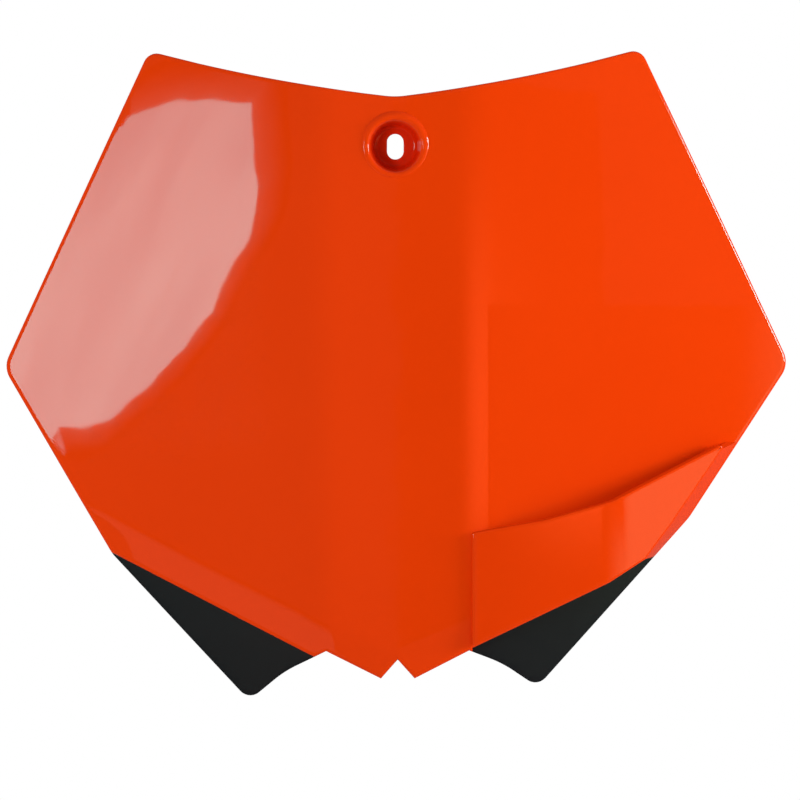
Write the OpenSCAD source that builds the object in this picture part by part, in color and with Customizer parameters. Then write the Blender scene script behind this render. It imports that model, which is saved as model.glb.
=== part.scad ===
// Racing number board for the front of a motocross bike: one double-curved sheet
// with a dished screw seat at the top, a bridged brake-hose guide on one side, two
// corners in a second colour, and holding lugs behind that hook on the mudguard.
// Origin: centre of the screw seat's floor. X across, Y to the back, Z up.

/* [Outline] */
// Half width at the two side points, to the sharp corner
side_x = 145.5; // [135:0.5:155]
// Height of the two side points from the screw seat
side_z = -80.2; // [-86:0.2:-74]
// Half width at the two top corners, to the sharp corner
top_x = 90.6; // [86:0.2:96]
// Height of the two top corners
top_z = 36; // [33:0.5:39]
// Height of the dip in the middle of the top edge
dip_z = 18.1; // [16:0.1:20]
// Slope of the top edge where it leaves the dip
dip_slope = 0.115; // [0.08:0.005:0.14]
// Height of the two peaks beside the bottom teeth
peak_z = -185.2; // [-188:0.2:-183]
// Half width between the bottom peaks
peak_x = 26.3; // [25:0.1:28]
// Height of the two bottom teeth
tooth_z = -195.4; // [-197:0.1:-193.5]
// Half distance between the two teeth
tooth_x = 6.2; // [5.5:0.1:7]
// Top of the notch between the teeth
notch_z = -188.4; // [-190:0.1:-187]

/* [Sheet] */
// Thickness of the moulded sheet
sheet_t = 2.5; // [2:0.1:3.2]
// Half width of the middle strip that faces straight forward
strip_half = 22; // [20:0.5:24]
// Radius of the soft crease on each side of the middle strip
crease_r = 50; // [40:1:60]
// Angle that each wing is swept back at the crease
sweep = 16; // [14:0.5:18]
// Radius of each wing in plan, beyond the crease
wing_r = 700; // [600:10:900]
// Radius of the board's curve from top to bottom
crown_r = 900; // [800:10:1100]
// Height of the foremost line of that curve
crown_z = -40; // [-60:1:-30]
// Extra angle that each lower corner is bent back
corner_bend = 8; // [5:0.5:10]
// How far the bent part lies behind the face along the bend
bend_step = 0.25; // [0.2:0.05:0.4]

/* [Second colour] */
// How far the lower corners lie behind the board's face
corner_step = 0.8; // [0.4:0.1:1.2]

/* [Screw seat] */
// Depth of the seat's floor below the face
seat_depth = 7; // [5:0.5:9]
// Radius of the flat floor with its inside fillet
seat_floor_r = 7.3; // [7:0.1:8]
// Radius of the sloping wall at the top
seat_mouth_r = 10.5; // [10:0.1:11.5]
// Radius of the rolled lip round the mouth
seat_lip_r = 1.5; // [1:0.1:1.6]
// How far the lip stands in front of the face at its centre
seat_lip_lift = 0.5; // [0.4:0.1:0.8]
// Inside fillet at the floor
seat_fillet_r = 1.2; // [0.8:0.1:1.6]
// Thickness of the floor
seat_floor_t = 3; // [2.5:0.1:4]
// Wall round the seat
seat_wall = 2.5; // [2:0.1:3]
// Width of the upright screw slot
slot_w = 6.4; // [6.2:0.1:6.8]
// Length of the upright screw slot, end to end
slot_l = 9.8; // [9:0.1:10.5]

/* [Hose guide] */
// Left end of the hose band
band_x0 = 27.5; // [27:0.5:29]
// How far the band's left end stands out of the face
band_lift = 1.6; // [1.2:0.1:2.4]
// Radius of the band's front part in plan
band_front_r = 300; // [250:10:400]
// Where the band turns back, across
band_turn_x = 77; // [74:1:79]
// Radius of that turn
band_turn_r = 14; // [10:1:20]
// Angle of the band beyond the turn
band_sweep = 30; // [28:0.5:32]
// Width of the band's left foot
band_foot = 6.5; // [5:0.5:8]
// Lean of the upper half of the band's end wall over the board's edge
band_end_lean = 20; // [15:1:25]
// Lean of its lower half
band_low_lean = 8; // [5:1:12]

/* [Holding lugs] */
// Half distance between the two lugs
lug_x = 20; // [16:1:26]
// Width of each lug
lug_w = 14; // [10:1:16]
// Height of the lugs' upper face
lug_z = -158; // [-162:1:-150]
// Reach of the lugs behind the sheet
lug_reach = 14; // [10:1:18]
// Height of the hook at each lug's end
lug_hook = 6; // [4:0.5:8]
// Thickness of the lugs
lug_t = 3; // [2.5:0.1:4]
// Clearance between each lug's root and the back of the sheet
lug_gap = 0.1; // [0.1:0.05:0.3]

/* [Hidden] */
$fn = 64;
orange = [0.95, 0.27, 0.07];
black = [0.09, 0.1, 0.11];
far = 200;
// Bounds beyond the whole outline, to each side and below
beside = 150;
under = -230;

// Plan of the face: where each wing starts, and its centre
wing_x = strip_half + crease_r * sin(sweep);
wing_d = crease_r * (1 - cos(sweep));
crown_y = -seat_depth - (crown_r - sqrt(crown_r * crown_r - crown_z * crown_z));

// Depth of the face behind its foremost line, across the board
function wing_angle(x) = asin(sin(sweep) + (x - wing_x) / wing_r);
function plan_depth(x) =
    abs(x) < strip_half ? 0
    : abs(x) < wing_x ? crease_r - sqrt(crease_r * crease_r - pow(abs(x) - strip_half, 2))
    : wing_d + wing_r * (cos(sweep) - cos(wing_angle(abs(x))));
// Place of the face in Y at any point across and up
function face_y(x, z) =
    crown_y + crown_r - sqrt(pow(crown_r - plan_depth(x), 2) - pow(z - crown_z, 2));

// Place of the sheet's back in Y, in the middle strip and in the creases
function plan_back(x) =
    abs(x) < strip_half ? sheet_t
    : crease_r - sqrt(pow(crease_r - sheet_t, 2) - pow(abs(x) - strip_half, 2));
function back_y(x, z) =
    crown_y + crown_r - sqrt(pow(crown_r - plan_back(x), 2) - pow(z - crown_z, 2));

// Points that round a corner of an outline, given as [x, z, radius]
function unit(v) = v / norm(v);
function round_corner(a, b, c, n = 8) =
    let (u = unit([a[0] - b[0], a[1] - b[1]]),
         w = unit([c[0] - b[0], c[1] - b[1]]),
         half = acos(u * w) / 2,
         centre = [b[0], b[1]] + unit(u + w) * b[2] / sin(half),
         p = [b[0], b[1]] + u * b[2] / tan(half) - centre,
         q = [b[0], b[1]] + w * b[2] / tan(half) - centre,
         a0 = atan2(p[1], p[0]),
         turn = atan2(p[0] * q[1] - p[1] * q[0], p * q))
    [for (i = [0:n]) centre + b[2] * [cos(a0 + turn * i / n), sin(a0 + turn * i / n)]];
function rounded(pts) =
    [for (i = [0:len(pts) - 1])
        let (a = pts[(i + len(pts) - 1) % len(pts)], b = pts[i], c = pts[(i + 1) % len(pts)])
        each (b[2] == 0 ? [[b[0], b[1]]] : round_corner(a, b, c))];

// Top edge: a shallow dip that steepens towards the corners
top_curve = (top_z - dip_z - dip_slope * top_x) / (top_x * top_x);
function top_edge(x) = dip_z + dip_slope * abs(x) + top_curve * x * x;

// Bend of the lower edge and lowest point, on the hose side and on the plain side:
// the hose side is cut in a little more
hose_kink = [107.8, -137];
hose_tip = [51.5, -199];
plain_kink = [-105.3, -149.3];
plain_tip = [-54.9, -203.6];
// Whole front outline, clockwise from the top left corner
outline = rounded(concat(
    [[-top_x, top_z, 5]],
    [for (x = [-72:12:-12]) [x, top_edge(x), 0]],
    [[0, top_edge(0), 30]],
    [for (x = [12:12:72]) [x, top_edge(x), 0]],
    [[top_x, top_z, 5],
     [side_x, side_z, 8.5],
     [each hose_kink, 25],
     [each hose_tip, 5],
     [38.5, -190, 45],
     [peak_x, peak_z, 0],
     [tooth_x, tooth_z, 0],
     [0, notch_z, 0],
     [-tooth_x, tooth_z, 0],
     [-peak_x, peak_z, 0],
     [-41.7, -192.7, 40],
     [each plain_tip, 5],
     [each plain_kink, 15],
     [-side_x, side_z, 8.5]]));

// Lower edge of the hose band, from its left end out past the board's edge
band_low = [[band_x0, -184.2], [78, -160.4], [92.5, -151.2], [134, -151.2]];
function band_low_z(x) = lookup(x, band_low);
// Front outline of the hose band
band_outline = concat(rounded([
    [134, -151.2, 0], [134, -102, 0], [79, -130.6, 20], [54, -137.4, 8],
    [band_x0, -141.9, 0]]), [for (i = [0:2]) band_low[i]]);
foot_x = band_x0 + band_foot;

// Where the second colour begins: a straight line on the left; on the right it
// follows the hose band's lower edge, and runs up behind the band between its ends
left_edge = [[-120, -141.3], [-30.9, -187.2]];
right_edge = [band_low[3], band_low[2], [88, band_low_z(88)], [86, band_low_z(86) + 3.3],
    [78, band_low_z(78) + 3.3], [foot_x, band_low_z(foot_x) + 3.3],
    [foot_x, band_low_z(foot_x)], band_low[0]];
left_corner = concat(left_edge, [[-30, under], [left_edge[0][0], under]]);
right_corner = concat(right_edge, [[band_x0, under], [band_low[3][0], under]]);
left_strip = [[0, -200], [-24, -200], left_edge[1], left_edge[0]];
right_strip = concat([[0, -200], [24, -200]], [for (i = [7:-1:0]) right_edge[i]]);

// Line about which each lower corner is bent back, 12 mm above the colour line; the
// two lines run on to meet at the notch
bend_a = [98.9, -138.2];
bend_b = [25.8, -176.2];
bend_slope = (bend_b[1] - bend_a[1]) / (bend_b[0] - bend_a[0]);
function bend_line(x) = bend_a[1] + bend_slope * (x - bend_a[0]);

// Mould opening behind the band, clear of the band's two ends and of the bend
window_outline = rounded([
    [foot_x, -146, 3], [54, -141.5, 0], [79, -134.5, 0], [107, -120.5, 3],
    [88, bend_line(88) + 0.6, 4], [foot_x, bend_line(foot_x) + 0.6, 3]]);

// Level solid that reaches from front to back behind a drawn front outline
module through(y0, y1) {
    translate([0, y1, 0]) rotate([90, 0, 0]) linear_extrude(y1 - y0) children();
}

// Plan of all that lies behind the face, moved in by o; drawn with X across and
// the depth behind the foremost line upwards
module face_plan(o, back) {
    translate([-strip_half, o]) square([2 * strip_half, back - o]);
    for (side = [0, 1]) mirror([side, 0]) {
        translate([strip_half, crease_r]) circle(crease_r - o, $fn = 180);
        intersection() {
            translate([strip_half, crease_r])
                rotate(sweep) translate([0, wing_r - crease_r]) circle(wing_r - o, $fn = 360);
            translate([strip_half, crease_r])
                rotate(sweep) translate([0, -crease_r]) square([far, back + crease_r / 2]);
        }
    }
}

// Turns a plan about the far, level axis that gives the board its crown
module crowned(half_angle) {
    translate([0, crown_y + crown_r, crown_z]) rotate([90, 0, -90]) rotate(-half_angle)
        rotate_extrude(angle = 2 * half_angle, $fn = 360)
            translate([crown_r, 0]) mirror([1, 0]) rotate(-90) children();
}

// Bends what it is given back about the line above a lower corner; side is -1 or 1
module bent(side) {
    a = [side * bend_a[0], face_y(bend_a[0], bend_a[1]), bend_a[1]];
    b = [side * bend_b[0], face_y(bend_b[0], bend_b[1]), bend_b[1]];
    translate(a) rotate(a = -side * corner_bend, v = b - a) translate(-a) children();
}

// Curved sheet between the face moved in by front, and t behind that
module sheet(front, t) {
    crowned(12) difference() {
        face_plan(front, 90);
        face_plan(front + t, 96);
    }
}

// What is cut out of the sheet, seen from the front: the lower corners beyond the
// bends, the hole under the seat's cup, and the mould opening behind the hose band
module main_outline() {
    difference() {
        polygon(outline);
        polygon([[-beside, bend_line(beside)], [0, bend_line(0)],
                 [beside, bend_line(beside)], [beside, under], [-beside, under]]);
        polygon(window_outline);
        circle(seat_mouth_r + seat_wall / 2);
    }
}

// Strip of the first colour between a bend and where the second colour begins;
// over laps it onto the main sheet at the bend
module strip_outline(side, over = 0.3) {
    intersection() {
        polygon(outline);
        polygon(concat([[side * beside, bend_line(beside) + over], [0, bend_line(0) + over]],
                       side < 0 ? left_strip : right_strip));
    }
}

module board_sheet() {
    intersection() {
        through(-30, 60) main_outline();
        sheet(0, sheet_t);
    }
    for (side = [-1, 1]) intersection() {
        through(-30, 60) strip_outline(side);
        bent(side) sheet(bend_step, sheet_t);
    }
}

// Round solid about the seat's axis: radius across, height from the seat's floor
// towards the front
module about_seat() {
    rotate([90, 0, 0]) rotate_extrude() children();
}

// Cup that carries the screw seat: flat floor, inside fillet, sloping wall, and a
// rolled lip just proud of the face
module seat_cup() {
    foot_r = seat_floor_r + seat_wall;
    top_r = seat_mouth_r + seat_lip_r;
    top = seat_depth + seat_lip_lift;
    difference() {
        about_seat() {
            difference() {
                polygon([[0, -seat_floor_t], [foot_r - 1, -seat_floor_t],
                    [foot_r, 1 - seat_floor_t], [top_r + 1, top - seat_lip_r - 1],
                    [top_r + 1, top - seat_lip_r], [0, top - seat_lip_r]]);
                polygon([[0, 0], [seat_floor_r - seat_fillet_r, 0],
                    [seat_floor_r, seat_fillet_r], [seat_mouth_r, top - seat_lip_r],
                    [seat_mouth_r, top], [0, top]]);
                translate([seat_floor_r - seat_fillet_r, seat_fillet_r])
                    circle(seat_fillet_r);
            }
            intersection() {
                translate([top_r, top - seat_lip_r]) circle(seat_lip_r);
                translate([0, top - seat_lip_r - 0.2]) square([top_r + seat_lip_r, 4]);
            }
        }
        screw_slot();
    }
}

// Upright slot for the screw
module screw_slot() {
    reach = (slot_l - slot_w) / 2;
    for (end = [-1, 1]) translate([0, 10, end * reach])
        rotate([90, 0, 0]) cylinder(h = 20, d = slot_w);
    translate([-slot_w / 2, -10, -reach]) cube([slot_w, 20, 2 * reach]);
}

// Half of space on the board's side of a wall that stands on the outline from
// p to q and leans in towards the front; moved in by o
module within_wall(p, q, lean, o) {
    mid = (p + q) / 2;
    along = atan2(q[1] - p[1], q[0] - p[0]);
    rise = atan2(face_y(q[0], q[1]) - face_y(p[0], p[1]), norm(q - p));
    translate([mid[0], (face_y(p[0], p[1]) + face_y(q[0], q[1])) / 2, mid[1]])
        rotate([0, -along, 0]) rotate([0, 0, rise]) rotate([lean, 0, 0])
            translate([-far, -far, -far - o]) cube([2 * far, 2 * far, far]);
}

// Plan of all that lies behind the hose band's face, moved in by o
turn_a = asin((band_turn_x - band_x0) / band_front_r);
turn_centre = [band_turn_x, band_front_r * (1 - cos(turn_a)) - band_lift]
    + band_turn_r * [-sin(turn_a), cos(turn_a)];
module band_plan(o, x0, back) {
    intersection() {
        translate([band_x0, band_front_r - band_lift]) circle(band_front_r - o, $fn = 360);
        translate(turn_centre) rotate(turn_a) translate([-far, -far]) square([far, 2 * far]);
        translate([x0, -20]) square([far, back + 20]);
    }
    translate(turn_centre) circle(band_turn_r - o, $fn = 120);
    translate(turn_centre) rotate(band_sweep) translate([0, o - band_turn_r])
        square([far, back]);
}

// Solid behind the band's face, moved in by o, that ends in walls at both ends
module behind_band(o, x0, back) {
    intersection() {
        crowned(12) band_plan(o, x0, back);
        within_wall([side_x, side_z], hose_kink, band_end_lean, o);
        within_wall(hose_kink, hose_tip, band_low_lean, o);
    }
}

// Raised band that bridges the mould opening: the brake hose runs down behind it
module hose_band() {
    intersection() {
        through(-30, 60) intersection() {
            polygon(outline);
            polygon(band_outline);
        }
        difference() {
            behind_band(0, band_x0, 60);
            behind_band(sheet_t, foot_x, 70);
            crowned(12) face_plan(sheet_t, 90);
        }
    }
}

// Lug that hooks on the mudguard, drawn from the side and drawn out across; its root
// follows the back of the sheet
module lug(side) color(orange) {
    outer = lug_x + lug_w / 2;
    low = lug_z - lug_t;
    tip = low - lug_hook;
    y1 = face_y(lug_x, lug_z) + sheet_t + lug_reach;
    translate([side * lug_x - lug_w / 2, 0, 0]) rotate([90, 0, 90])
        linear_extrude(lug_w) polygon(rounded([
            [back_y(outer, lug_z) + lug_gap, lug_z, 0], [y1, lug_z, 1.5], [y1, tip, 1.2],
            [y1 - lug_t, tip, 0.8], [y1 - lug_t, low, 1.5],
            [back_y(outer, low) + lug_gap, low, 0]]));
}

module board() color(orange) {
    board_sheet();
    seat_cup();
    hose_band();
}

module corner(side, area) color(black) {
    intersection() {
        through(-30, 60) intersection() {
            polygon(outline);
            polygon(area);
        }
        bent(side) sheet(bend_step + corner_step, sheet_t);
    }
}

module corner_left() corner(-1, left_corner);
module corner_right() corner(1, right_corner);
module lug_left() lug(-1);
module lug_right() lug(1);

board();
corner_left();
corner_right();
lug_left();
lug_right();
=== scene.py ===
# Racing number board for the front of a motocross bike, dressed for the camera.
# Millimetres are drawn as in the CAD source and scaled to metres on each new piece.

import math

import bmesh
import bpy
import numpy as np
from mathutils import Matrix, Vector


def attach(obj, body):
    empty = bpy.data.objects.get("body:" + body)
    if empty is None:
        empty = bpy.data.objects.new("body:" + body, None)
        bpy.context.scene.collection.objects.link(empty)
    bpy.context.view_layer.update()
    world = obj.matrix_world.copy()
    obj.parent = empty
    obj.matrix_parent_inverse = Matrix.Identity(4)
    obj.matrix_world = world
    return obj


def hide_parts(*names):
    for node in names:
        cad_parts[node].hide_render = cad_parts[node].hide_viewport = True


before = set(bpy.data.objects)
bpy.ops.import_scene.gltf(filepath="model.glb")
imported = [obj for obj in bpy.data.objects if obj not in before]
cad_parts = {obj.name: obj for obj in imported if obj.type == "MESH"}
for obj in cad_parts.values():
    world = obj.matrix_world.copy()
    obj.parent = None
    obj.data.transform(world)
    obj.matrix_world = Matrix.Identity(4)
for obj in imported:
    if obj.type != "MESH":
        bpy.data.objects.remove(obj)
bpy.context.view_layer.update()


# The press form: the shape of the moulded face. A flat middle strip, two soft creases
# and two swept wings in plan, spun about a far level axis, with each lower corner
# folded back a little. The flat blanks of the sheet and the corners are laid on it.
strip_half, crease_r, sweep, wing_r = 22, 50, math.radians(16), 700
crown_r, crown_z, seat_depth = 900, -40, 7
crown_y = -seat_depth - (crown_r - math.sqrt(crown_r**2 - crown_z**2))
wing_x = strip_half + crease_r * math.sin(sweep)
wing_d = crease_r * (1 - math.cos(sweep))


def plan_depth(x):
    x = abs(x)
    if x < strip_half:
        return 0
    if x < wing_x:
        return crease_r - math.sqrt(crease_r**2 - (x - strip_half) ** 2)
    turned = math.asin(math.sin(sweep) + (x - wing_x) / wing_r)
    return wing_d + wing_r * (math.cos(sweep) - math.cos(turned))


def crowned_y(depth, z):
    return crown_y + crown_r - math.sqrt((crown_r - depth) ** 2 - (z - crown_z) ** 2)


def face_y(x, z):
    return crowned_y(plan_depth(x), z)


def work_on(piece):
    if bpy.context.mode != "OBJECT":
        bpy.ops.object.mode_set(mode="OBJECT")
    bpy.ops.object.select_all(action="DESELECT")
    piece.select_set(True)
    bpy.context.view_layer.objects.active = piece


def edit(piece):
    work_on(piece)
    bpy.ops.object.mode_set(mode="EDIT")


def done():
    bpy.ops.object.mode_set(mode="OBJECT")


def choose(piece, kind, test):
    """In edit mode, selects the faces or edges that pass a test."""
    bpy.ops.mesh.select_mode(type=kind)
    bpy.ops.mesh.select_all(action="DESELECT")
    shape = bmesh.from_edit_mesh(piece.data)
    shape.normal_update()
    for part in {"FACE": shape.faces, "EDGE": shape.edges}[kind]:
        if not part.hide and test(part):
            part.select_set(True)
    bmesh.update_edit_mesh(piece.data)


def drawn(name, points, closed=True):
    """A new piece that holds one drawn line, or one flat face where it is closed."""
    count = len(points)
    mesh = bpy.data.meshes.new(name)
    if closed:
        mesh.from_pydata(points, [], [list(range(count))])
    else:
        mesh.from_pydata(points, [(i, i + 1) for i in range(count - 1)], [])
    piece = bpy.data.objects.new(name, mesh)
    bpy.context.scene.collection.objects.link(piece)
    return piece


def spun_form(name, depth, half=math.radians(13), steps=190):
    """Surface made by spinning a plan about the far axis that gives the crown."""
    columns = [-150 + 1.5 * i for i in range(74)]
    columns += [-39 + 0.5 * i for i in range(157)]
    columns += [40.5 + 1.5 * i for i in range(74)]
    form = drawn(name, [(x, crown_y + depth(x), crown_z) for x in columns], closed=False)
    far_axis = Vector((0, crown_y + crown_r, crown_z))
    form.data.transform(
        Matrix.Translation(far_axis)
        @ Matrix.Rotation(-half, 4, "X")
        @ Matrix.Translation(-far_axis)
    )
    edit(form)
    bpy.ops.mesh.select_all(action="SELECT")
    bpy.ops.mesh.spin(steps=steps, angle=-2 * half, center=far_axis, axis=(1, 0, 0))
    done()
    return form


bend_a, bend_b, corner_bend = (98.9, -138.2), (25.8, -176.2), math.radians(8)


def fold_back(form, side, turns=6, pitch=1.3):
    """Folds one lower corner of the form back, as a row of small turns."""
    a = Vector((side * bend_a[0], face_y(*bend_a), bend_a[1]))
    b = Vector((side * bend_b[0], face_y(*bend_b), bend_b[1]))
    along = (b - a).normalized()
    level = Vector((along.x, 0, along.z)).normalized()
    down = side * Vector((-level.z, 0, level.x))
    for turn in range(turns):
        on_line = a + down * pitch * (turn - (turns - 1) / 2)
        on_line.y = face_y(on_line.x, on_line.z)
        edit(form)
        choose(form, "FACE", lambda f: side * f.calc_center_median().x > 0)
        bpy.ops.mesh.bisect(plane_co=on_line, plane_no=down)
        done()
        swing = (
            Matrix.Translation(on_line)
            @ Matrix.Rotation(-side * corner_bend / turns, 4, along)
            @ Matrix.Translation(-on_line)
        )
        for point in form.data.vertices:
            if side * point.co.x > 0.01 and (point.co - on_line).dot(down) > 0.001:
                point.co = swing @ point.co


face_form = spun_form("face_form", plan_depth)
for side in (-1, 1):
    fold_back(face_form, side)


# The sheet: one moulding of glossy orange plastic, 2.5 mm thick, with an opening for
# the screw seat's cup and a mould opening behind the hose guide. Its front edge is
# rolled over all round.
sheet_t = 2.5
side_x, side_z, top_x, top_z = 145.5, -80.2, 90.6, 36
dip_z, dip_slope = 18.1, 0.115
top_curve = (top_z - dip_z - dip_slope * top_x) / top_x**2
hose_kink, hose_tip = (107.8, -137), (51.5, -199)
plain_kink, plain_tip = (-105.3, -149.3), (-54.9, -203.6)


def rounded(points, step=1.2):
    """An outline's corners, given as (x, z, radius), with each one rounded."""
    line = []
    for i, (x, z, radius) in enumerate(points):
        corner = Vector((x, z))
        if not radius:
            line.append(corner)
            continue
        u = (Vector(points[i - 1][:2]) - corner).normalized()
        w = (Vector(points[(i + 1) % len(points)][:2]) - corner).normalized()
        half = u.angle(w) / 2
        centre = corner + (u + w).normalized() * radius / math.sin(half)
        start = corner + u * radius / math.tan(half) - centre
        end = corner + w * radius / math.tan(half) - centre
        steps = math.ceil(start.angle(end) * radius / step)
        line += [centre + radius * start.slerp(end, k / steps) for k in range(steps + 1)]
    return line


def top_edge(x):
    return dip_z + dip_slope * abs(x) + top_curve * x * x


outline = rounded(
    [(-top_x, top_z, 5)]
    + [(x, top_edge(x), 0) for x in range(-72, -11, 6)]
    + [(0, top_edge(0), 30)]
    + [(x, top_edge(x), 0) for x in range(12, 73, 6)]
    + [
        (top_x, top_z, 5),
        (side_x, side_z, 8.5),
        (*hose_kink, 25),
        (*hose_tip, 5),
        (38.5, -190, 45),
        (26.3, -185.2, 0),
        (6.2, -195.4, 0),
        (0, -188.4, 0),
        (-6.2, -195.4, 0),
        (-26.3, -185.2, 0),
        (-41.7, -192.7, 40),
        (*plain_tip, 5),
        (*plain_kink, 15),
        (-side_x, side_z, 8.5),
    ]
)

band_x0, band_foot = 27.5, 6.5
foot_x = band_x0 + band_foot
band_low = [(band_x0, -184.2), (78, -160.4), (92.5, -151.2), (134, -151.2)]
bend_slope = (bend_b[1] - bend_a[1]) / (bend_b[0] - bend_a[0])


def bend_line(x):
    return bend_a[1] + bend_slope * (x - bend_a[0])


def band_low_z(x):
    for (x0, z0), (x1, z1) in zip(band_low, band_low[1:]):
        if x <= x1:
            return z0 + (z1 - z0) * (x - x0) / (x1 - x0)


window = rounded(
    [
        (foot_x, -146, 3),
        (54, -141.5, 0),
        (79, -134.5, 0),
        (107, -120.5, 3),
        (88, bend_line(88) + 0.6, 4),
        (foot_x, bend_line(foot_x) + 0.6, 3),
    ]
)
beside, under = 150, -230
left_edge = [(-120, -141.3), (-20, -192.8)]
right_edge = [
    band_low[3],
    band_low[2],
    (88, band_low_z(88)),
    (86, band_low_z(86) + 3.3),
    (78, band_low_z(78) + 3.3),
    (foot_x, band_low_z(foot_x) + 3.3),
    (foot_x, band_low_z(foot_x)),
    band_low[0],
]
left_area = left_edge + [(-20, under), (-beside, under), (-beside, left_edge[0][1])]
right_area = right_edge + [(band_x0, under), (beside, under), (beside, band_low[3][1])]


def pull_out(piece, move):
    """Extrudes a drawn face into a solid that faces outwards."""
    edit(piece)
    bpy.ops.mesh.select_all(action="SELECT")
    bpy.ops.mesh.extrude_region_move(TRANSFORM_OT_translate={"value": move})
    bpy.ops.mesh.select_all(action="SELECT")
    bpy.ops.mesh.normals_make_consistent(inside=False)
    done()


def slab(name, line, reach=10):
    """A drawn front outline, pulled out to the same reach before and behind."""
    piece = drawn(name, [(p[0], -reach, p[1]) for p in line])
    pull_out(piece, (0, 2 * reach, 0))
    return piece


def carve(piece, tool, operation="DIFFERENCE"):
    """Cuts a piece with another solid, which is used up."""
    work_on(piece)
    cut = piece.modifiers.new("cut", "BOOLEAN")
    cut.operation, cut.object, cut.solver = operation, tool, "EXACT"
    bpy.ops.object.modifier_apply(modifier="cut")
    bpy.data.objects.remove(tool)


def apply(piece, kind, **settings):
    work_on(piece)
    added = piece.modifiers.new("step", kind)
    for key, value in settings.items():
        setattr(added, key, value)
    bpy.ops.object.modifier_apply(modifier="step")


def flat_blank(piece, most=2.5):
    """Keeps only the front of a slab, with its border in even steps."""
    edit(piece)
    choose(piece, "FACE", lambda f: f.normal.y > -0.9)
    bpy.ops.mesh.delete(type="FACE")
    bpy.ops.mesh.select_all(action="SELECT")
    bpy.ops.mesh.remove_doubles(threshold=0.5)
    bpy.ops.mesh.dissolve_limited(angle_limit=math.radians(0.4))
    shape = bmesh.from_edit_mesh(piece.data)
    for e in [e for e in shape.edges if e.calc_length() > most]:
        cuts = math.ceil(e.calc_length() / most) - 1
        bmesh.ops.bisect_edges(shape, edges=[e], cuts=cuts)
    bmesh.update_edit_mesh(piece.data)
    done()


def rings(piece, widths, inside=lambda f: True):
    """Insets borders of even width into a region, and marks what lies within."""
    edit(piece)
    choose(piece, "FACE", inside)
    for width in widths:
        bpy.ops.mesh.inset(thickness=width, depth=0, use_boundary=True)
    shape = bmesh.from_edit_mesh(piece.data)
    for f in shape.faces:
        if f.select:
            f.material_index = 1
    bmesh.update_edit_mesh(piece.data)
    done()


def grid(piece, pitch):
    """Cuts what lies within the borders into a grid, so that it can take a curve."""
    corners = [Vector(c) for c in piece.bound_box]
    edit(piece)
    choose(piece, "FACE", lambda f: f.material_index == 0)
    bpy.ops.mesh.hide(unselected=False)
    for axis in (0, 2):
        lo, hi = min(c[axis] for c in corners), max(c[axis] for c in corners)
        cuts = math.ceil((hi - lo) / pitch)
        for i in range(1, cuts):
            co, no = Vector(), Vector()
            co[axis], no[axis] = lo + (hi - lo) * i / cuts, 1
            bpy.ops.mesh.select_all(action="SELECT")
            bpy.ops.mesh.bisect(plane_co=co, plane_no=no)
    bpy.ops.mesh.reveal()
    bpy.ops.mesh.select_all(action="SELECT")
    bpy.ops.mesh.remove_doubles(threshold=0.01)
    done()
    for f in piece.data.polygons:
        f.material_index = 0


far_behind = 200


def lay_on(piece, form, back=0.0):
    """Presses a flat blank onto a form from behind, at a distance behind its face."""
    piece.data.transform(Matrix.Translation((0, far_behind, 0)))
    apply(
        piece,
        "SHRINKWRAP",
        target=form,
        wrap_method="PROJECT",
        use_project_y=True,
        use_positive_direction=False,
        use_negative_direction=True,
    )
    piece.data.transform(Matrix.Translation((0, back, 0)))


def off_line(points, line):
    """Distance of each drawn point from a line of points, seen from the front."""
    nearest = np.full(len(points), 1e9)
    for p, q in zip(line, line[1:]):
        p, q = np.array(p), np.array(q)
        along = np.clip((points - p) @ (q - p) / ((q - p) @ (q - p)), 0, 1)
        off = np.linalg.norm(points - p - np.outer(along, q - p), axis=1)
        nearest = np.minimum(nearest, off)
    return nearest


def thicken(piece, *rolled):
    """Gives a laid sheet its thickness, and rolls its front over at each line, given
    as (points, width, depth)."""
    front = len(piece.data.vertices)
    apply(piece, "SOLIDIFY", thickness=sheet_t, offset=-1, use_even_offset=False)
    at = np.array([(v.co.x, v.co.z) for v in piece.data.vertices[:front]])
    drop = np.zeros(front)
    for line, width, depth in rolled:
        inner = np.clip(1 - off_line(at, line) / width, 0, 1)
        drop = np.maximum(drop, depth * (1 - np.sqrt(1 - inner**2)))
    for i in range(front):
        piece.data.vertices[i].co.y += drop[i]


def round_edges(piece, width, weight, segments=4):
    """Rounds the edges to which the test gives a share of the width."""
    edit(piece)
    shape = bmesh.from_edit_mesh(piece.data)
    shape.normal_update()
    layer = shape.edges.layers.float.get("bevel_weight_edge")
    layer = layer or shape.edges.layers.float.new("bevel_weight_edge")
    for e in shape.edges:
        e[layer] = weight(e) if len(e.link_faces) == 2 else 0
    bmesh.update_edit_mesh(piece.data)
    done()
    apply(
        piece,
        "BEVEL",
        width=width,
        segments=segments,
        limit_method="WEIGHT",
        use_clamp_overlap=False,
    )


def finish_piece(piece, *replaced, slot, material):
    """To metres, smooth where it is smooth, and on its body."""
    piece.data.transform(Matrix.Scale(0.001, 4))
    work_on(piece)
    bpy.ops.object.shade_smooth_by_angle(angle=math.radians(35))
    piece.data.materials.clear()
    piece.data.materials.append(material)
    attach(piece, "root")
    for node in replaced:
        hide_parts(node)


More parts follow.
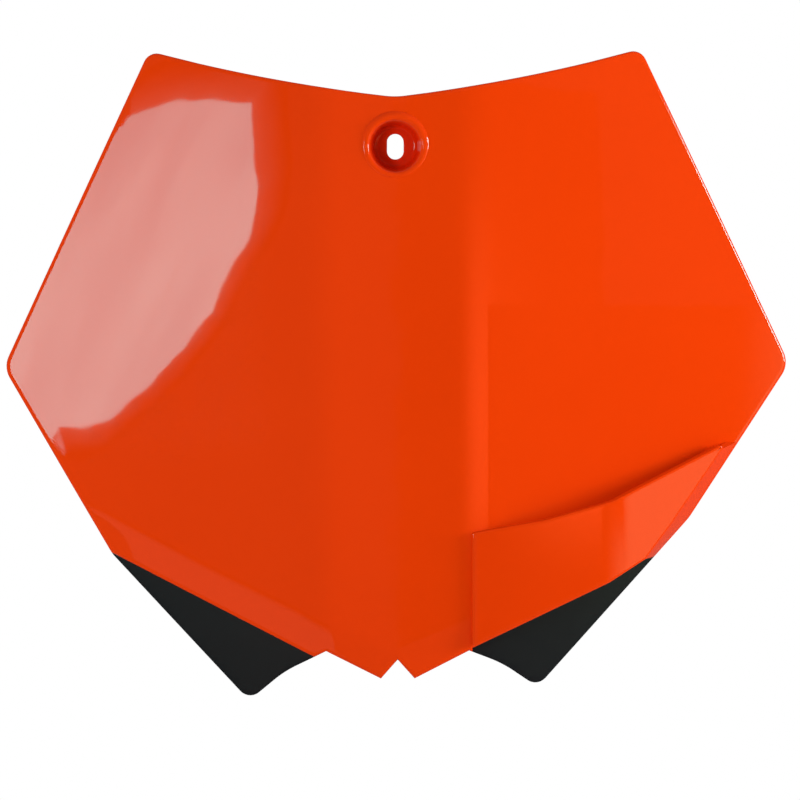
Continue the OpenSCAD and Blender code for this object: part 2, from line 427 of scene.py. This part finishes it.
class Wire:
    """A value in a material; sums and products on it add Math nodes."""

    def __init__(self, finish, socket):
        self.finish, self.socket = finish, socket

    def _math(self, operation, a, b):
        return self.finish.node("ShaderNodeMath", {"operation": operation}, {0: a, 1: b})

    def __add__(self, other):
        return self._math("ADD", self, other)

    def __sub__(self, other):
        return self._math("SUBTRACT", self, other)

    def __rsub__(self, other):
        return self._math("SUBTRACT", other, self)

    def __mul__(self, other):
        return self._math("MULTIPLY", self, other)

    __radd__, __rmul__ = __add__, __mul__

    def between(self, low, high):
        """0 below low, 1 above high, and a soft change between."""
        return self.finish.node(
            "ShaderNodeMapRange",
            {"interpolation_type": "SMOOTHSTEP"},
            {0: self, 1: low, 2: high},
        )


class Finish:
    """A material that is built node by node on a Principled shader."""

    def __init__(self, name, ior):
        self.material = bpy.data.materials.new(name)
        self.material.use_nodes = True
        self.tree = self.material.node_tree
        self.shader = self.tree.nodes["Principled BSDF"]
        self.shader.inputs["IOR"].default_value = ior
        self.at = self.node("ShaderNodeTexCoord", {}, {}, out="Object")

    def node(self, kind, settings, inputs, out=0):
        made = self.tree.nodes.new(kind)
        for key, value in settings.items():
            setattr(made, key, value)
        for key, value in inputs.items():
            if isinstance(value, Wire):
                self.tree.links.new(value.socket, made.inputs[key])
            else:
                made.inputs[key].default_value = value
        return Wire(self, made.outputs[out])

    def feed(self, name, wire):
        self.tree.links.new(wire.socket, self.shader.inputs[name])

    def along(self, axis):
        """The piece's own X, Y or Z."""
        return self.node("ShaderNodeSeparateXYZ", {}, {"Vector": self.at}, out=axis)

    def noise(self, scale, detail, stretch=(1, 1, 1), at=None):
        at = self.node("ShaderNodeMapping", {}, {"Vector": at or self.at, "Scale": stretch})
        return self.node(
            "ShaderNodeTexNoise", {}, {"Vector": at, "Scale": scale, "Detail": detail}
        )

    def colour(self, factor, low, high):
        return self.node(
            "ShaderNodeMix",
            {"data_type": "RGBA"},
            {0: factor, 6: (*low, 1), 7: (*high, 1)},
            out=2,
        )

    def bump(self, height, distance, strength):
        inputs = {"Height": height, "Distance": distance, "Strength": strength}
        return self.node("ShaderNodeBump", {}, inputs)


orange = Finish("orange_gloss", ior=1.47)
drift = orange.noise(14, 3)
orange.feed("Base Color", orange.colour(drift, (0.87, 0.049, 0.0014), (0.92, 0.055, 0.0018)))
haze = orange.noise(60, 4)
scuff = orange.noise(240, 5, (1, 1, 0.06)).between(0.70, 0.78)
orange.feed("Roughness", 0.015 + 0.025 * haze + 0.05 * scuff)
orange.feed("Normal", orange.bump(orange.noise(70, 1), 0.00012, 0.2))

edge_rings, edge_roll, inner_roll, pitch = (0.2, 0.3, 0.4, 0.6), (0.95, 0.85), (0.9, 0.6), 2.5
around, around_window = outline + outline[:1], window + window[:1]
colour_lines = (left_edge, right_edge[:3], right_edge[-2:])

sheet = slab("sheet", outline)
for area in (left_area, right_area, window):
    carve(sheet, slab("cut", area, 20))
flat_blank(sheet)
rings(sheet, edge_rings)
grid(sheet, pitch)
lay_on(sheet, face_form)
thicken(
    sheet,
    (around, *edge_roll),
    *[(line, *inner_roll) for line in colour_lines],
    (around_window, *inner_roll),
)
cup_hole_r, hole_turn = 11.6, 1 / 9
cup_hole = [
    (cup_hole_r * math.cos(i * hole_turn), cup_hole_r * math.sin(i * hole_turn))
    for i in range(57)
]
carve(sheet, slab("cup_hole", cup_hole, 30))
finish_piece(sheet, "board", slot="orange", material=orange.material)


# The screw seat: a round cup in the same orange moulding, with a flat floor, a
# sloping wall and a rolled lip. An upright slot through the floor takes the screw.
# The cup's colour has painted shade: it turns a deeper red towards the floor, standing in for
# the shade that falls in the recess.
cup_line = rounded(
    [
        (0, 0, 0),
        (7.6, 0, 1.6),
        (9.4, 6.3, 1.2),
        (9.9, 7.5, 1.0),
        (11.4, 7.5, 1.3),
        (13.0, 6.4, 0.3),
        (13.0, 4.8, 0.3),
        (9.8, -2, 0.3),
        (8.8, -3, 0.3),
        (0, -3, 0),
    ],
    step=0.3,
)
cup = drawn("screw_seat", [(p[0], -p[1], 0) for p in cup_line], closed=False)
edit(cup)
bpy.ops.mesh.select_all(action="SELECT")
bpy.ops.mesh.spin(steps=96, angle=2 * math.pi, center=(0, 0, 0), axis=(0, 1, 0))
bpy.ops.mesh.select_all(action="SELECT")
bpy.ops.mesh.remove_doubles(threshold=0.001)
bpy.ops.mesh.select_all(action="SELECT")
bpy.ops.mesh.normals_make_consistent(inside=False)
done()
slot_w, slot_l, slot_edge = 6.1, 9.4, 0.25
reach = (slot_l - slot_w) / 2
half_turn = [math.pi * i / 16 for i in range(17)]
slot_line = [
    (slot_w / 2 * math.cos(a), slot_w / 2 * math.sin(a) + (reach if a < math.pi else -reach))
    for a in half_turn + [math.pi * 1.0001 + a for a in half_turn]
]
carve(cup, slab("slot_cut", slot_line, 20))


def on_slot_rim(e):
    """1 for the edges where the slot's wall meets the floor, before and behind."""
    faces_seen = {round(abs(f.normal.y)) for f in e.link_faces}
    return float(faces_seen == {0, 1} and all(v.co.xz.length < 5.2 for v in e.verts))


round_edges(cup, slot_edge, on_slot_rim, segments=3)
# Painted shade: the base colour darkens to a deep red deeper in the cup, where shade falls.
dish_painted_shade = Finish("orange_dish_painted_shade", ior=1.47)
painted_shade_depth = dish_painted_shade.along("Y").between(-0.0075, -0.003)
dish_painted_shade.feed("Base Color", dish_painted_shade.colour(painted_shade_depth, (0.895, 0.052, 0.0016), (0.7, 0.018, 0.0007)))
dish_painted_shade.feed("Roughness", 0.03 + 0.03 * dish_painted_shade.noise(60, 4))
finish_piece(cup, slot="orange", material=dish_painted_shade.material)


# The hose guide: a raised band of the same moulding that bridges the opening, with
# a step at its left end and a wall at its outer end. The brake hose runs behind it.
band_lift, band_front_r = 1.6, 300
band_turn_x, band_turn_r, band_sweep = 73.6, 34, math.radians(30)
turn_a = math.asin((band_turn_x - band_x0) / band_front_r)
turn_x = band_turn_x - band_turn_r * math.sin(turn_a)
turn_y = band_front_r * (1 - math.cos(turn_a)) - band_lift + band_turn_r * math.cos(turn_a)
turned_x = turn_x + band_turn_r * math.sin(band_sweep)


def band_depth(x):
    if x < band_turn_x:
        return band_front_r - math.sqrt(band_front_r**2 - (x - band_x0) ** 2) - band_lift
    if x < turned_x:
        return turn_y - math.sqrt(band_turn_r**2 - (x - turn_x) ** 2)
    return turn_y - band_turn_r * math.cos(band_sweep) + (x - turned_x) * math.tan(band_sweep)


band_form = spun_form("band_form", band_depth)
fold = [(91.4, -151.9), (101.6, -138.5), (122.2, -108.9)]
band_area = rounded(
    [
        (*fold[2], 0.8),
        (79, -130.6, 20),
        (54, -137.4, 8),
        (band_x0, -141.9, 0.6),
        (*band_low[0], 0),
        (*band_low[1], 0),
        (*fold[0], 0),
        (*fold[1], 8),
    ]
)
band = slab("hose_guide", band_area)
flat_blank(band)
rings(band, (0.2, 0.3, 0.5))
grid(band, pitch)
lay_on(band, band_form)


def edge_x(z):
    """The board's right edge at one height."""
    for p, q in zip(outline, outline[1:]):
        if p.x > 60 and p.y >= z >= q.y:
            return p.x + (q.x - p.x) * (z - p.y) / (q.y - p.y)


def on_fold(e):
    ends = np.array([v.co.xz for v in e.verts])
    return len(e.link_faces) == 1 and all(off_line(ends, fold) < 0.5)


# The end wall: the fold's edge is pulled out to the board's edge, and a little behind
edit(band)
choose(band, "EDGE", on_fold)
bpy.ops.mesh.extrude_edges_move(TRANSFORM_OT_translate={"value": (0, 0, 0)})
shape = bmesh.from_edit_mesh(band.data)
wall_back, top_rise, low_rise = 1.2, 3.4, 0.7
fold_low, fold_bend, fold_top = (z for x, z in fold)
for v in [v for v in shape.verts if v.select]:
    up = max(0, (v.co.z - fold_bend) / (fold_top - fold_bend))
    down = max(0, (v.co.z - fold_bend) / (fold_low - fold_bend))
    z = v.co.z + top_rise * up**2 + low_rise * down**2
    x = edge_x(z)
    hit = face_form.ray_cast(Vector((x, far_behind, z)), Vector((0, -1, 0)))[1]
    v.co = (x, hit.y + wall_back, z)
bmesh.update_edit_mesh(band.data)
done()
thicken(band, (band_area + band_area[:1], *inner_roll))
finish_piece(band, slot="orange", material=orange.material)


# The two holding lugs: short hooks low on the back that grip the mudguard, moulded
# on the sheet.
lug_x, lug_w, lug_z, lug_reach, lug_hook, lug_t, lug_edge = 20, 14, -158, 14, 6, 3, 0.5
y0 = face_y(lug_x, lug_z) + sheet_t / 2
y1 = face_y(lug_x, lug_z) + sheet_t + lug_reach
foot = lug_z - lug_t - lug_hook
lug_line = rounded(
    [
        (y0, lug_z, 0),
        (y1, lug_z, 1.5),
        (y1, foot, 1.2),
        (y1 - lug_t, foot, 0.8),
        (y1 - lug_t, lug_z - lug_t, 1.5),
        (y0, lug_z - lug_t, 0),
    ],
    step=0.5,
)


def on_side(e):
    """1 for the edges between a lug's side and what lies round it."""
    return float({round(abs(f.normal.x)) for f in e.link_faces} == {0, 1})


for side, name in ((-1, "lug_left"), (1, "lug_right")):
    x0 = side * lug_x - lug_w / 2
    lug = drawn(name + "_hook", [(x0, p[0], p[1]) for p in lug_line])
    pull_out(lug, (lug_w, 0, 0))
    round_edges(lug, lug_edge, on_side)
    finish_piece(lug, name, slot="orange", material=orange.material)


# The two lower corners: satin black plastic that carries on from the orange sheet,
# a little behind its face.
black = Finish("black_satin", ior=1.46)
shade = black.noise(30, 3)
black.feed(
    "Base Color", black.colour(shade, (0.0085, 0.0095, 0.0108), (0.0115, 0.0125, 0.014))
)
black.feed("Roughness", 0.28 + 0.08 * black.noise(180, 4))
black.feed("Normal", black.bump(black.noise(2600, 2), 0.00003, 0.5))
corner_back, corner_roll = 1.15, (0.4, 0.3)
for name, area in (("corner_left", left_area), ("corner_right", right_area)):
    corner = slab(name + "_face", outline)
    carve(corner, slab("area", area, 20), "INTERSECT")
    flat_blank(corner)
    rings(corner, (0.15, 0.25))
    grid(corner, pitch)
    lay_on(corner, face_form, corner_back)
    thicken(corner, (around, *corner_roll))
    finish_piece(corner, name, slot="black", material=black.material)

for form in (face_form, band_form):
    bpy.data.objects.remove(form)


# The camera: far off, straight in front, with a slight roll. The picture's width covers
# 0.293 m at the foremost line of the face.
lens_at, roll = Vector((0.0013, -4.0, -0.093)), math.radians(0.27)
to_face, covered = 3.992, 0.29304
camera = bpy.data.objects.new("camera", bpy.data.cameras.new("camera"))
camera.data.lens = camera.data.sensor_width * to_face / covered
camera.data.clip_end = 50
camera.location = lens_at
camera.rotation_euler = (math.radians(90), roll, 0)
bpy.context.scene.collection.objects.link(camera)
bpy.context.scene.camera = camera


# The studio: a pale floor, a white surround, a soft key light from the right, and a
# tall window at the left, drawn where its mirror image falls on the left wing. Gloss
# alone sees the window, the cards and the dim room.
def glow(name, strength):
    """A material that gives its own light and reflects none."""
    lit = Finish(name, ior=1.45)
    for socket, value in (
        ("Base Color", (0, 0, 0, 1)),
        ("Roughness", 1),
        ("Specular IOR Level", 0),
        ("Emission Color", (1, 1, 1, 1)),
        ("Emission Strength", strength),
    ):
        lit.shader.inputs[socket].default_value = value
    return lit


def gloss_only(piece, lit):
    """Gives a piece a light that shows in gloss and nowhere else."""
    piece.data.materials.append(lit.material)
    piece.visible_camera = piece.visible_diffuse = piece.visible_shadow = False


def upright(name, start, end, low, high):
    """An upright card between two places, given as (x, y), and two heights."""
    return drawn(name, [(*start, low), (*end, low), (*end, high), (*start, high)])


mirror_image = [
    (-97.4, 12.1), (-84.2, 16.8), (-66.7, 17.9), (-52.7, 16.5), (-51.6, 0.4),
    (-50.2, -15.4), (-52.7, -31.1), (-64.8, -52), (-67.4, -60.1), (-77.3, -72.2),
    (-90.1, -86.8), (-105.9, -99.6), (-112.8, -102.2), (-124.9, -102.6), (-122.3, -112.5),
    (-150, -90), (-150, -40),
]
window_y = -1.25
pane = []
for x, z in mirror_image:
    slope_x = face_y(x + 0.5, z) - face_y(x - 0.5, z)
    slope_z = face_y(x, z + 0.5) - face_y(x, z - 0.5)
    normal = Vector((slope_x, -1, slope_z)).normalized()
    here = Vector((x, face_y(x, z), z)) * 0.001
    ray = (here - lens_at).normalized().reflect(normal)
    pane.append(here + ray * (window_y - here.y) / ray.y)
daylight = glow("daylight", 6.0)
slanted = daylight.node(
    "ShaderNodeMapping", {}, {"Vector": daylight.at, "Rotation": (0, math.radians(-45), 0)}
)
streaks = daylight.noise(9, 4, (1, 1, 0.22), at=slanted).between(0.36, 0.66)
pale = 0.45 * streaks + 0.55 * (1 - daylight.along("Z").between(-0.1, 0.25))
daylight.feed("Emission Color", daylight.colour(pale, (0.0, 0.9, 0.93), (0.3, 1.3, 1.28)))
window_light = drawn("window_light", pane)
gloss_only(window_light, daylight)

# A faint veil round the window's image, fading away from its edge
middle = sum(pane, Vector()) / len(pane)
rim = pane[:14]
count = len(rim)
outer = [p + 0.25 * (p - middle) for p in rim]
strips = [(i, i + 1, i + 1 + count, i + count) for i in range(count - 1)]
veil = bpy.data.objects.new("veil", bpy.data.meshes.new("veil"))
veil.data.from_pydata(rim + outer, [], strips)
nearness = veil.data.attributes.new("near", "FLOAT", "POINT")
nearness.data.foreach_set("value", [1.0] * count + [0.0] * count)
bpy.context.scene.collection.objects.link(veil)
mist = glow("veil", 1.0)
near = mist.node("ShaderNodeAttribute", {"attribute_name": "near"}, {}, out=2)
mist.feed("Emission Color", mist.colour(near * near, (0, 0, 0), (0.15, 0.85, 0.8)))
gloss_only(veil, mist)

# A warm card over the right crease, which fades to all sides
warm = glow("warm_card", 3.6)
across, upward = warm.along("X"), warm.along("Z")
patch = across.between(0.08, 0.55) * (1 - across.between(0.62, 1.2))
patch = patch * upward.between(-0.6, -0.42) * (1 - upward.between(-0.3, 0.25))
warm.feed("Emission Color", warm.colour(patch, (0, 0, 0), (1.0, 0.135, 0.035)))
warm_card = upright("warm_card", (0, -1.45), (1.3, -1.45), -0.75, 0.3)
gloss_only(warm_card, warm)

# A pale card far to the right, for the swept end of the hose guide
side_card = upright("side_card", (0.7, -1.3), (1.25, -0.96), -0.8, -0.1)
edit(side_card)
choose(side_card, "EDGE", lambda e: all(v.co.x > 1.2 for v in e.verts))
bpy.ops.mesh.extrude_edges_move(TRANSFORM_OT_translate={"value": (0.33, 0.7, 0)})
done()
fading = glow("side_card", 1.1)
low = 1 - fading.along("Z").between(-0.52, -0.4)
near_front = fading.along("X").between(0.75, 1.5)
lit = near_front * low + fading.along("Y").between(-0.95, -0.72) * (1 - low)
fading.feed("Emission Color", fading.colour(lit, (0, 0, 0), (0.7, 1.1, 0.6)))
gloss_only(side_card, fading)

# A low card at the left, for the soft fold above the lower corner
soft = glow("low_card", 0.45)
strip = 1 - soft.along("Z").between(-1.0, -0.78)
soft.feed("Emission Color", soft.colour(strip, (0, 0, 0), (1.0, 0.7, 0.55)))
low_card = upright("low_card", (-2.0, -1.3), (-0.3, -1.3), -1.4, -0.78)
gloss_only(low_card, soft)

aim, room_r, floor_r, floor_z = Vector((0, 0, -0.09)), 3.2, 1.6, -0.34
for name, place, watts, size in (
    ("key", (2.7, -0.48, 0.3), 62, 1.0),
    ("fill", (-1.6, -1.7, -0.2), 21.5, 0.6),
):
    lamp = bpy.data.objects.new(name, bpy.data.lights.new(name, "AREA"))
    lamp.data.energy, lamp.data.size = watts, size
    lamp.location = place
    lamp.rotation_euler = (aim - lamp.location).to_track_quat("-Z", "Y").to_euler()
    lamp.visible_glossy = name == "key"
    bpy.context.scene.collection.objects.link(lamp)

bpy.ops.object.select_all(action="DESELECT")
bpy.ops.mesh.primitive_uv_sphere_add(segments=48, ring_count=24, radius=room_r)
dim_room = bpy.context.object
dim_room.name = "dim_room"
room = glow("dim_room", 1)
dim = room.colour(room.along("Y").between(-1, 3), (0.05, 0.05, 0.05), (0.14, 0.14, 0.14))
room.feed("Emission Color", dim)
gloss_only(dim_room, room)

bpy.ops.object.select_all(action="DESELECT")
bpy.ops.mesh.primitive_circle_add(
    vertices=96, radius=floor_r, fill_type="NGON", location=(0, 0, floor_z)
)
floor = bpy.context.object
floor.name = "floor"
work_on(floor)
bpy.ops.object.transform_apply(location=True, rotation=True, scale=True)
paint = glow("floor", 0.1)
paint.shader.inputs["Base Color"].default_value = (0.8, 0.8, 0.8, 1)
floor.data.materials.append(paint.material)
floor.visible_glossy = False

world = bpy.data.worlds.new("surround")
world.use_nodes = True
bpy.context.scene.world = world
nodes, links = world.node_tree.nodes, world.node_tree.links
paths = nodes.new("ShaderNodeLightPath")
shown = paths.outputs["Is Camera Ray"]
for ray in ("Is Glossy Ray", "Is Transmission Ray"):
    most = nodes.new("ShaderNodeMath")
    most.operation = "MAXIMUM"
    links.new(shown, most.inputs[0])
    links.new(paths.outputs[ray], most.inputs[1])
    shown = most.outputs[0]
level = nodes.new("ShaderNodeMapRange")
level.inputs[3].default_value, level.inputs[4].default_value = 0.38, 1.0
links.new(shown, level.inputs[0])
links.new(level.outputs[0], nodes["Background"].inputs["Strength"])
nodes["Background"].inputs["Color"].default_value = (1, 1, 1, 1)
bpy.context.scene.view_settings.view_transform = "Standard"
